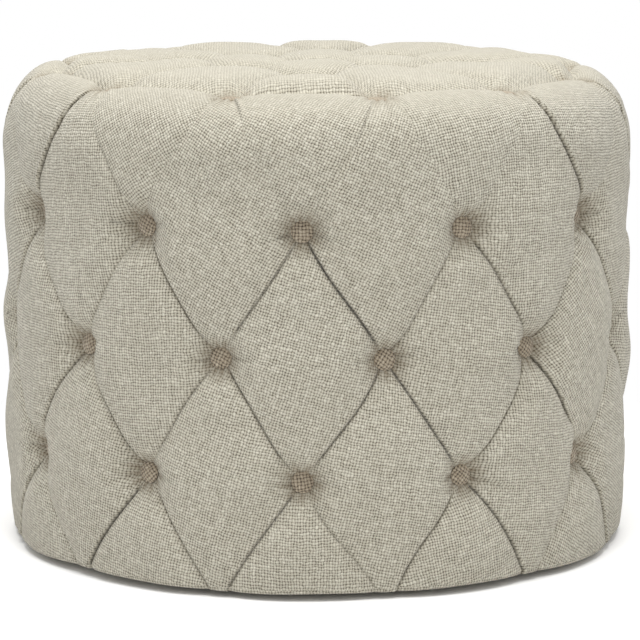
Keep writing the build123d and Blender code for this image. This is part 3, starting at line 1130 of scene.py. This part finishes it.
@dataclass(frozen=True)
class Weave:
    """Plain-woven linen: thick and thin yarns, with painted shade where they dive under each other.
    """

    name: str
    light: Colour
    warm: Colour
    pit: Colour
    pitch: float
    depth: float
    roughness: float = 0.92
    specular: float = 0.25
    sheen: float = 0.20
    sheen_roughness: float = 0.5
    # How the yarns wander, and their form
    wander: float = 0.0025
    wander_scale: float = 170.0
    swing: float = 0.0040
    swing_scale: float = 26.0
    yarn_power: float = 0.62
    yarn_swell: float = 0.12
    yarn_wave: float = 0.36
    yarn_fatness: tuple[float, float] = (0.80, 1.10)
    fibre_scale: float = 900.0
    fibre_height: float = 0.10
    # What makes the warm tone, by random tones and painted shade in the yarns' hollows, and the
    # painted shade between the yarns
    patch_scale: float = 9.0
    tone_share: float = 0.26
    knot_share: float = 0.34
    patch_share: float = 0.10
    fibre_share: float = 0.36
    hollow_share: float = 0.50
    hollow_span: tuple[float, float] = (0.62, 0.98)
    warm_span: tuple[float, float] = (0.2, 1.0)
    pit_span: tuple[float, float] = (0.15, 0.66)
    pit_swing: tuple[float, float] = (0.5, 1.7)
    # Painted top light: where the cloth faces up its tone is evened and the painted shade between
    # the yarns is lighter
    upward_span: tuple[float, float] = (0.55, 0.97)
    upward_share: float = 0.55
    upward_tones: float = 0.4
    upward_pits: float = 0.3
    # Painted shade: dark lines along pleats and furrows, and a brown shade in the pockets round the
    # buttons
    marked: bool = False
    mark_breadth: float = 0.0008
    mark_depth: float = 1.6
    mark_shade: float = 0.60
    mark_swing: tuple[float, float] = (0.5, 1.3)
    furrow_shade: float = 0.35
    gathered: Colour = linear(118, 100, 74)
    gather_shade: float = 0.62

    def mark(self, make: Recipe, name: str) -> Field:
        """A line on the cloth, for painted shade and a dip in the bump: a map's second coordinate
        times a bell curve of its first.

        Args:
            make: the material in the making.
            name: the map's name.

        Returns:
            How strongly the line shows, from 0 to 1.
        """
        place = make.add("UVMap", uv_map=name)
        gap = place.axis("X") * (1.0 / self.mark_breadth)
        return (gap * gap * -1.0).math("EXPONENT") * place.axis("Y")

    def material(self) -> bpy.types.Material:
        """The woven material, laid along the cloth's own coordinates.

        The yarns wander by fine noise, and swing by broad noise less a half. Across a yarn the
        height is the sine of its width. Along it the height swings as a cosine of the yarns
        that it crosses, turned by half a wave from one yarn to the next. The cloth shows
        whichever of warp and weft stands higher.

        Returns:
            The material.
        """
        make = Recipe(bpy.data.materials.new(self.name))
        cloth = make.add("UVMap", uv_map="cloth")
        fine = make.noise(cloth, self.wander_scale, 1.0).output("Color")
        broad = make.noise(cloth, self.swing_scale, 2.0).output("Color")
        place = make.moved(make.moved(cloth, fine, self.wander), broad, self.swing, least=0.5)
        yarns = [place.axis(axis) * (1.0 / self.pitch) for axis in "XY"]
        counts = [yarn.math("FLOOR") for yarn in yarns]
        heights, tones = [], []
        for own, other, turn in ((0, 1, 0.0), (1, 0, 1.0)):
            across = (yarns[own].math("FRACT") * np.pi).math("SINE").math("POWER", self.yarn_power)
            swell = make.add("CombineXYZ", x=counts[own], y=yarns[other] * self.yarn_swell)
            fat = make.noise(swell, 1.0, 1.0).within(0.2, 0.8, *self.yarn_fatness)
            over = ((yarns[other] - 0.5 + counts[own] + turn) * np.pi).math("COSINE")
            heights.append(across * (over * self.yarn_wave + (1.0 - self.yarn_wave)) * fat)
            tones.append(make.add("TexWhiteNoise", noise_dimensions="1D", w=counts[own]))
        top = heights[0].math("MAXIMUM", heights[1])
        warp_shows = heights[0].math("GREATER_THAN", heights[1])
        fibre = make.noise(place, self.fibre_scale, 2.0)
        patch = make.noise(make.position(), self.patch_scale, 2.0)
        tone = tones[0] * warp_shows + tones[1] * warp_shows.ramp(1.0, 0.0)
        crossing = make.add("CombineXYZ", x=counts[0], y=counts[1])
        knot = make.add("TexWhiteNoise", noise_dimensions="2D", vector=crossing)
        # The warm share: random tone of yarns, crossings, patches and fibres, and painted shade
        # where a yarn falls into its hollows
        share = (tone * self.tone_share + knot * self.knot_share
                 + patch.within(0.3, 0.7) * self.patch_share + fibre * self.fibre_share
                 + top.within(*self.hollow_span, self.hollow_share, 0.0)).within(*self.warm_span)
        # Painted top light: how much the cloth faces up, which evens its tone and lightens the
        # shade between the yarns
        top_lit = make.add("NewGeometry").output("Normal").axis("Z").within(*self.upward_span)
        share = share * top_lit.ramp(1.0, self.upward_tones) + top_lit * self.upward_share
        colour = make.mix(share, self.light, self.warm)
        # Painted shade in the gaps between the yarns, lighter where the cloth faces up
        pit_shade_share = top.within(*self.pit_span, 1.0, 0.0) * knot.ramp(*self.pit_swing)
        colour = make.mix(pit_shade_share * top_lit.ramp(1.0, self.upward_pits), colour, self.pit)
        height = top + fibre * self.fibre_height
        if self.marked:
            cut = self.mark(make, "fold") + self.mark(make, "furrow") * self.furrow_shade
            # Painted shade in the pockets round the buttons
            drawn = make.add("UVMap", uv_map="gather").axis("X")
            colour = make.mix(drawn * self.gather_shade, colour, self.gathered)
            # Painted shade: a dark line along each fold and furrow, in the dark colour between the
            # yarns
            seen = cut.within(0.0, 1.0, 0.0, self.mark_shade) * knot.ramp(*self.mark_swing)
            colour = make.mix(seen, colour, self.pit)
            height = height - cut * self.mark_depth
        make.set(base_color=colour, roughness=self.roughness, sheen_weight=self.sheen,
                 sheen_roughness=self.sheen_roughness, specular_ior_level=self.specular)
        make.bump(height, self.depth)
        return make.owner


@dataclass(frozen=True)
class Timber:
    """Sawn or planed wood, or a board of it, with grain along one axis."""

    name: str
    light: Colour
    dark: Colour
    stretch: tuple[float, float, float]
    fineness: float = 60.0
    plies: float = 0.0
    roughness: tuple[float, float] = (0.62, 0.8)
    depth: float = 0.0003
    pore_fineness: float = 7.0
    pore_height: float = 0.5
    grain_share: float = 0.75
    pore_share: float = 0.35
    dark_span: tuple[float, float] = (0.36, 0.74)
    ply_blur: float = 0.2
    edge_span: tuple[float, float] = (0.2, 0.6)
    edge_shade: float = 0.55

    def material(self) -> bpy.types.Material:
        """Grain from noise drawn out along the wood, and plies from a wave up its edge.

        Returns:
            The material.
        """
        make = Recipe(bpy.data.materials.new(self.name))
        place = make.position(self.stretch)
        grain = make.noise(place, self.fineness, 6.0)
        pore = make.noise(place, self.fineness * self.pore_fineness, 2.0)
        share = (grain * self.grain_share + pore * self.pore_share).within(*self.dark_span)
        colour = make.mix(share, self.light, self.dark)
        if self.plies:
            ply = (make.position().axis("Z") * (2 * np.pi / self.plies)).math("SINE")
            level = make.add("NewGeometry").output("Normal").axis("Z").math("ABSOLUTE")
            upright = level.within(*self.edge_span, self.edge_shade, 0.0)
            edge = ply.within(-self.ply_blur, self.ply_blur) * upright
            colour = make.mix(edge, colour, self.dark)
        make.set(base_color=colour, roughness=share.within(0.0, 1.0, *self.roughness))
        make.bump(grain + pore * self.pore_height, self.depth)
        return make.owner


@dataclass(frozen=True)
class Moulded:
    """Foam, felt, plastic or metal: one colour with a fine grain of its own."""

    name: str
    colour: Colour
    shade: Colour
    grain: float
    depth: float
    roughness: float
    metallic: float = 0.0
    coarseness: float = 12.0
    fine_share: float = 0.6
    broad_share: float = 0.5
    shade_span: tuple[float, float] = (0.35, 0.75)
    worn_span: tuple[float, float] = (0.3, 0.7)
    roughness_swing: tuple[float, float] = (0.85, 1.15)

    def material(self) -> bpy.types.Material:
        """Colour, roughness and bump from two sizes of noise in the piece's own space.

        Returns:
            The material.
        """
        make = Recipe(bpy.data.materials.new(self.name))
        place = make.position()
        fine = make.noise(place, self.grain, 3.0)
        broad = make.noise(place, self.grain / self.coarseness, 3.0)
        share = (fine * self.fine_share + broad * self.broad_share).within(*self.shade_span)
        ends = (min(self.roughness * swing, 1.0) for swing in self.roughness_swing)
        make.set(base_color=make.mix(share, self.colour, self.shade), metallic=self.metallic,
                 roughness=broad.within(*self.worn_span, *ends))
        make.bump(fine, self.depth)
        return make.owner


LINEN = Weave("greige_linen", linear(232, 228, 213), linear(194, 188, 171), linear(84, 77, 62),
              pitch=0.0026, depth=0.0010, marked=True)
# The buttons' linen is darker and browner than the cover's, partly painted shade of the pockets
# they sit in
BUTTON_LINEN = Weave("greige_button_linen", linear(216, 205, 185), linear(172, 158, 137),
                     linear(58, 47, 36), pitch=0.0031, depth=0.0013)
FOAM = Moulded("cut_foam", linear(236, 226, 190), linear(216, 203, 160), 900.0, 0.0006, 0.95)
BLACK_CLOTH = Moulded("spunbond_cloth", linear(26, 26, 27), linear(42, 42, 44), 600.0, 0.0004, 0.9)
BIRCH_PLY = Timber("birch_plywood", linear(214, 186, 144), linear(168, 132, 92), (1.0, 0.08, 1.0),
                   plies=0.003)
ZINC = Moulded("zinc_plating", linear(196, 190, 172), linear(150, 146, 134), 500.0, 0.00005,
               0.38, 1.0)
# Finishes of the CAD nodes that stay, by a part of their names
CARRIED_OVER = {
    "button_backs": Moulded("pressed_back", linear(190, 190, 188), linear(158, 158, 156), 300.0,
                            0.00005, 0.32, 1.0),
    "side_panel": Moulded("bent_fibreboard", linear(134, 98, 66), linear(108, 76, 50), 700.0,
                          0.0001, 0.75),
    "top_board": BIRCH_PLY,
    "base_ring": BIRCH_PLY,
    "post_": Timber("planed_softwood", linear(222, 190, 144), linear(184, 142, 98),
                    (1.0, 1.0, 0.06)),
    "toggles": Timber("turned_beech", linear(208, 168, 124), linear(170, 126, 86), (1.0, 1.0, 0.3),
                      160.0),
    "twines": Moulded("waxed_twine", linear(214, 200, 168), linear(160, 142, 108), 1500.0, 0.0004,
                      0.7),
    "staples": Moulded("galvanised_wire", linear(178, 180, 182), linear(140, 142, 146), 400.0,
                       0.00005, 0.35, 1.0),
    "screws": ZINC,
    "nails": ZINC,
    "glides": Moulded("moulded_nylon", linear(30, 30, 32), linear(44, 44, 46), 800.0, 0.00012, 0.5),
}


def dress(piece: Piece, material: bpy.types.Material) -> None:
    """Give a piece one material through its object's slots.

    Args:
        piece: the piece.
        material: its finish.
    """
    if not piece.material_slots:
        piece.data.materials.append(material)
    for place in piece.material_slots:
        place.material = material


def declare(piece: Piece, slot: str, *nodes: str) -> Piece:
    """Attach a new piece to what it rides on, and hide the CAD nodes that it stands for.

    Args:
        piece: the new piece.
        slot: the name of its finish; not used.
        nodes: the CAD nodes.

    Returns:
        The same piece.
    """
    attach(piece, BODY)
    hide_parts(*nodes)
    return piece


@dataclass(frozen=True)
class Buttons:
    """Covered buttons, domed, with the linen drawn round their rims."""

    tufting: Tufting
    radius: float = 0.0101
    back_radius: float = 0.0068
    back_height: float = 0.0022
    belly_share: float = 0.9
    rim_height: float = 0.0026
    dome_height: float = 0.0021
    dome_power: float = 2.3
    clearance: float = 0.00015
    tilt: float = 0.035
    rim_turns: tuple[float, float] = (-90.0, 40.0)
    rim_steps: int = 7
    dome_steps: int = 9
    sides: int = 36

    def outline(self) -> Array:
        """Radius and height of the button's half section.

        The rim is part of an ellipse, from the back out to the widest point and a little on.
        The dome is a shallow power curve from there to the middle.

        Returns:
            Radii and heights, from the middle of the back to the middle of the dome.
        """
        low = self.clearance + self.back_height
        turns = np.radians(np.linspace(*self.rim_turns, self.rim_steps))
        belly = (self.radius - self.back_radius) * self.belly_share
        rim = np.stack([self.radius - belly + belly * np.cos(turns),
                        low + self.rim_height / 2 * (1 + np.sin(turns))], axis=-1)
        shares = np.linspace(1.0, 0.0, self.dome_steps)[1:]
        rise = self.dome_height * (1.0 - shares ** self.dome_power)
        dome = np.stack([rim[-1, 0] * shares, rim[-1, 1] + rise], axis=-1)
        return np.concatenate([[(0.0, low)], rim, dome])

    def build(self, name: str, tufts: list[Tuft]) -> Piece:
        """Make one row of buttons.

        Each point of the half section goes round the button's own axis, which is tilted a
        little by a height that grows with the radius.

        Args:
            name: the piece's name.
            tufts: where the buttons are.

        Returns:
            The row as one object.
        """
        skin = Skin()
        padding = self.tufting.padding
        outline = self.outline()
        radius, level = outline[:, 0, None], outline[:, 1, None]
        run = way_along(outline)
        turns = np.linspace(0.0, 2 * np.pi, self.sides, endpoint=False)
        for tuft in tufts:
            place = self.tufting.place(tuft)
            middle = padding.points(place)
            out = padding.points(place, 1.0) - middle
            angle = np.radians(place[0])
            across = np.array((-np.sin(angle), np.cos(angle), 0.0))
            up = np.cross(out, across)
            own = draws("button", tuft)
            tilt = own.normal(0.0, self.tilt, 2)
            flat = radius[..., None] * (np.cos(turns)[:, None] * across
                                        + np.sin(turns)[:, None] * up)
            height = level + radius * (tilt[0] * np.cos(turns) + tilt[1] * np.sin(turns))
            turn = own.uniform(0.0, np.pi)
            cloth = (run[-1] - run)[:, None, None] * heading(turns + turn)
            skin.add(middle + flat + height[..., None] * out, closed=True,
                     cloth=cloth + own.uniform(0.0, 1.0, 2))
        return skin.piece(name)

    def dressed(self) -> list[Piece]:
        """Build every row of buttons in their linen, in place of CAD's.

        Returns:
            The rows.
        """
        material = BUTTON_LINEN.material()
        rows = []
        for node, tufts in self.tufting.rows().items():
            row = declare(self.build(f"{node}_covered", tufts), "button_linen", node)
            dress(row, material)
            rows.append(row)
        return rows


@dataclass(frozen=True)
class Foams:
    """The foam sheet round the side and the slab on the top, pressed in under the buttons."""

    tufting: Tufting
    thickness: float = 0.0098
    press: float = 0.0012
    press_reach: float = 0.012
    pressed_share: float = 0.95
    cap_share: float = 0.6
    sheet_round: tuple[float, float] = (0.12, 0.5)
    slab_round: tuple[float, float] = (0.30, 0.09)
    corner_steps: int = 25
    sides: int = 192

    def build(self, node: str, hollow: bool) -> Piece:
        """Make one foam in the space of its node.

        The outline is turned round the axis. Its corners are rounded by a superellipse, of a
        power and a share of the width, and a bell curve at each tuft presses the outside in.

        Args:
            node: the CAD node it stands for.
            hollow: whether it is a sheet round the side, and not a slab.

        Returns:
            The foam as one object.
        """
        low, high = (np.array(corner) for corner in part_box(node))
        outer = high[0] - self.press / 4
        inner = outer - self.thickness if hollow else 0.0
        power, share = self.sheet_round if hollow else self.slab_round
        turns = np.linspace(-np.pi / 2, np.pi / 2, self.corner_steps)
        inset = (outer - inner) * share * (1 - np.abs(np.cos(turns).round(9)) ** power)
        level = np.sign(np.sin(turns)) * np.abs(np.sin(turns)) ** power
        level = (low[2] + high[2]) / 2 + (high[2] - low[2]) / 2 * level
        outline = np.stack([outer - inset, level], axis=-1)
        if hollow:
            inside = np.stack([inner + inset, level], axis=-1)
            outline = np.concatenate([outline, inside[::-1][1:]])
        else:
            under, over = ([(0.0, z), (outer * self.cap_share, z)] for z in (low[2], high[2]))
            outline = np.concatenate([under, outline, over[::-1]])
        radius, height = outline[:, 0, None], outline[:, 1, None]
        angle = np.linspace(0.0, 2 * np.pi, self.sides, endpoint=False)
        pressed = radius - self.press * self.pressed(angle, height)
        pressed = np.where(radius > outer * self.pressed_share, pressed, radius)
        cloth = np.stack(np.broadcast_arrays(angle[None] * outer, height), axis=-1)
        skin = Skin()
        skin.add(space(pressed, angle, height), closed=True, cloth=cloth)
        return skin.piece(f"{node}_cut")

    def pressed(self, angle: Array, height: Array) -> Array:
        """Bell curves at the side's tufts, by height and angle, from 0 to 1.

        Args:
            angle: angles round the foam, in radians.
            height: heights, one in each row.

        Returns:
            How far each point is pressed in, rows by angles.
        """
        total = np.zeros((len(height), len(angle)))
        for tuft in self.tufting.tufts():
            if tuft[0] == "side":
                turn = np.radians(self.tufting.place(tuft)[0])
                beside = np.angle(np.exp(1j * (angle - turn))) * self.tufting.padding.side_radius
                up = height - self.tufting.row_heights[tuft[1]]
                total += np.exp(-(beside[None] ** 2 + up ** 2) / self.press_reach ** 2)
        return np.minimum(total, 1.0)

    def dressed(self) -> list[Piece]:
        """Build both foams with their finish, in place of CAD's.

        Returns:
            The sheet round the side, and the slab on the top.
        """
        material = FOAM.material()
        foams = []
        for node, hollow in (("side_foam", True), ("top_foam", False)):
            foam = declare(self.build(node, hollow), "foam", node)
            dress(foam, material)
            foams.append(foam)
        return foams


@dataclass(frozen=True)
class DustCover:
    """The black cloth stapled under the base, drawn between its staples."""

    radius: float
    bottom: float
    top: float
    staples: int = 18
    pucker: float = 0.0006
    drawn_in: float = 0.004
    sag: float = 0.0012
    inner_shares: tuple[float, float, int] = (0.0, 0.9, 13)
    rim_shares: tuple[float, ...] = (0.94, 0.97, 0.985, 1.0)
    staple_steps: int = 12

    def build(self) -> Piece:
        """Make the cloth as a thin closed disc.

        It hangs a little in the middle, by one less the squared share of the radius, and its
        edge is wavy between the staples, by a cosine that grows with the cube of that share.

        Returns:
            The cloth as one object.
        """
        shares = np.concatenate([np.linspace(*self.inner_shares), self.rim_shares])[:, None]
        angle = np.linspace(0.0, 2 * np.pi, self.staples * self.staple_steps, endpoint=False)
        wave = 0.5 - 0.5 * np.cos(angle * self.staples)
        hang = self.sag * (1 - shares ** 2)
        ripple = self.pucker * shares ** 3 * wave
        reach = self.radius * shares * (1.0 - self.drawn_in * shares ** 3 * wave)
        low, high = (space(reach, angle, level - hang - ripple)
                     for level in (self.bottom, self.top))
        points = np.concatenate([low, high[::-1]])
        skin = Skin()
        skin.add(points, closed=True, cloth=points[..., :2])
        return skin.piece("dust_cloth")

    def dressed(self) -> list[Piece]:
        """Build the black cloth, stretched on the base ring, in place of CAD's.

        Returns:
            The cloth alone.
        """
        cloth = declare(self.build(), "black_cloth", "dust_cover")
        dress(cloth, BLACK_CLOTH.material())
        return [cloth]


class Carcass:
    """The CAD nodes that stay as they are: the frame, its fastenings and the buttons' ties."""

    def dressed(self) -> list[Piece]:
        """Give every node that stays its finish, by a part of its name.

        Returns:
            The pieces that have one.
        """
        made: dict[str, bpy.types.Material] = {}
        kept = []
        for node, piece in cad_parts.items():
            finish = next((finish for part, finish in CARRIED_OVER.items() if part in node), None)
            if finish is None:
                continue
            if finish.name not in made:
                made[finish.name] = finish.material()
            dress(piece, made[finish.name])
            kept.append(piece)
        return kept


@dataclass(frozen=True)
class Lamp:
    """A square soft lamp that faces the ottoman, with its power in watts."""

    name: str
    place: tuple[float, float, float]
    power: float


@dataclass(frozen=True)
class Studio:
    """The pale floor, the white surroundings, the soft lamps and the camera."""

    distance: float = 3.0
    elevation: float = 9.21
    azimuth: float = 2.68
    target: tuple[float, float, float] = (0.0026, 0.0, 0.205)
    lens: float = 174.6
    sensor: float = 36.0
    ambient: float = 0.60
    floor_reach: float = 30.0
    floor_colour: float = 0.86
    floor_seen: float = 1.24
    white_from: tuple[float, float] = (0.42, 0.75)
    lamp_size: float = 2.2
    lamps: tuple[Lamp, ...] = (Lamp("overhead_lamp", (0.0, -0.5, 2.6), 62.0),
                               Lamp("front_fill", (0.5, -3.2, 1.3), 3.0))

    def aimed(self, name: str, data: bpy.types.ID, place: Vector, towards: Vector) -> Piece:
        """A camera or lamp in its place, looking towards something.

        Args:
            name: its name.
            data: the camera or lamp itself.
            place: where it stands.
            towards: the way that it looks.

        Returns:
            The object.
        """
        made = placed(name, data)
        made.location = place
        made.rotation_euler = towards.to_track_quat("-Z", "Y").to_euler()
        return made

    def camera(self) -> None:
        """Stand the camera where the photograph was taken from."""
        data = bpy.data.cameras.new("camera")
        data.lens = self.lens
        data.sensor_width = self.sensor
        turn, rise = np.radians(self.azimuth), np.radians(self.elevation)
        back = Vector((np.sin(turn) * np.cos(rise), -np.cos(turn) * np.cos(rise), np.sin(rise)))
        place = Vector(self.target) + back * self.distance
        bpy.context.scene.camera = self.aimed("camera", data, place, -back)

    def hang(self, lamp: Lamp) -> None:
        """Hang one lamp, facing the ottoman.

        Args:
            lamp: its name, place and power.
        """
        data = bpy.data.lights.new(lamp.name, "AREA")
        data.shape = "SQUARE"
        data.size = self.lamp_size
        data.energy = lamp.power
        place = Vector(lamp.place)
        self.aimed(lamp.name, data, place, Vector(self.target) - place)

    def surroundings(self) -> None:
        """A pale world that lights the piece, and is seen as plain white."""
        world = bpy.data.worlds.new("surroundings")
        make = Recipe(world)
        path = make.add("LightPath")
        rays = path.output("Is Camera Ray")
        for name in ("Is Glossy Ray", "Is Transmission Ray"):
            rays = rays.math("MAXIMUM", path.output(name))
        light, seen = (make.add("Background", color=WHITE, strength=strength)
                       for strength in (self.ambient, 1.0))
        make.show(make.add("MixShader", rays, light, seen), "World Output")
        bpy.context.scene.world = world

    def floor(self) -> None:
        """A wide pale floor, brighter to the camera, so that it meets the white behind it."""
        reach = self.floor_reach
        mesh = bpy.data.meshes.new("floor")
        mesh.from_pydata([(-reach, -reach, 0), (reach, -reach, 0), (reach, reach, 0),
                          (-reach, reach, 0)], [], [(0, 1, 2, 3)])
        made = placed("floor", mesh)
        make = Recipe(bpy.data.materials.new("pale_floor"))
        plain, near = (make.add("BsdfDiffuse", color=(level, level, level))
                       for level in (self.floor_colour, self.floor_seen))
        white = make.add("Emission", color=WHITE, strength=1.0)
        away = make.add("VectorMath", make.position(), operation="LENGTH").output("Value")
        seen = make.add("MixShader", away.within(*self.white_from), near, white)
        camera_ray = make.add("LightPath").output("Is Camera Ray")
        make.show(make.add("MixShader", camera_ray, plain, seen), "Material Output")
        dress(made, make.owner)

    def build(self) -> None:
        """Set the whole studio up."""
        self.camera()
        self.surroundings()
        self.floor()
        for lamp in self.lamps:
            self.hang(lamp)
        bpy.context.scene.view_settings.view_transform = "Standard"


def main() -> None:
    """Build the ottoman's sub-assemblies in order, and then the studio."""
    logging.basicConfig(level=logging.INFO, format="%(name)s: %(message)s")
    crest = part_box("linen_cover")[1]
    tufting = Tufting(Padding(crest_radius=round(crest.x, 3), crest_height=round(crest.z, 3)))
    under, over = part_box("dust_cover")
    dust_cover = DustCover(radius=over.x, bottom=under.z, top=over.z)
    for assembly in (Cover(tufting), Buttons(tufting), Foams(tufting), dust_cover, Carcass()):
        for piece in assembly.dressed():
            log.info("%s: %d faces", piece.name, len(piece.data.polygons))
    Studio().build()


if __name__ == "__main__":
    main()
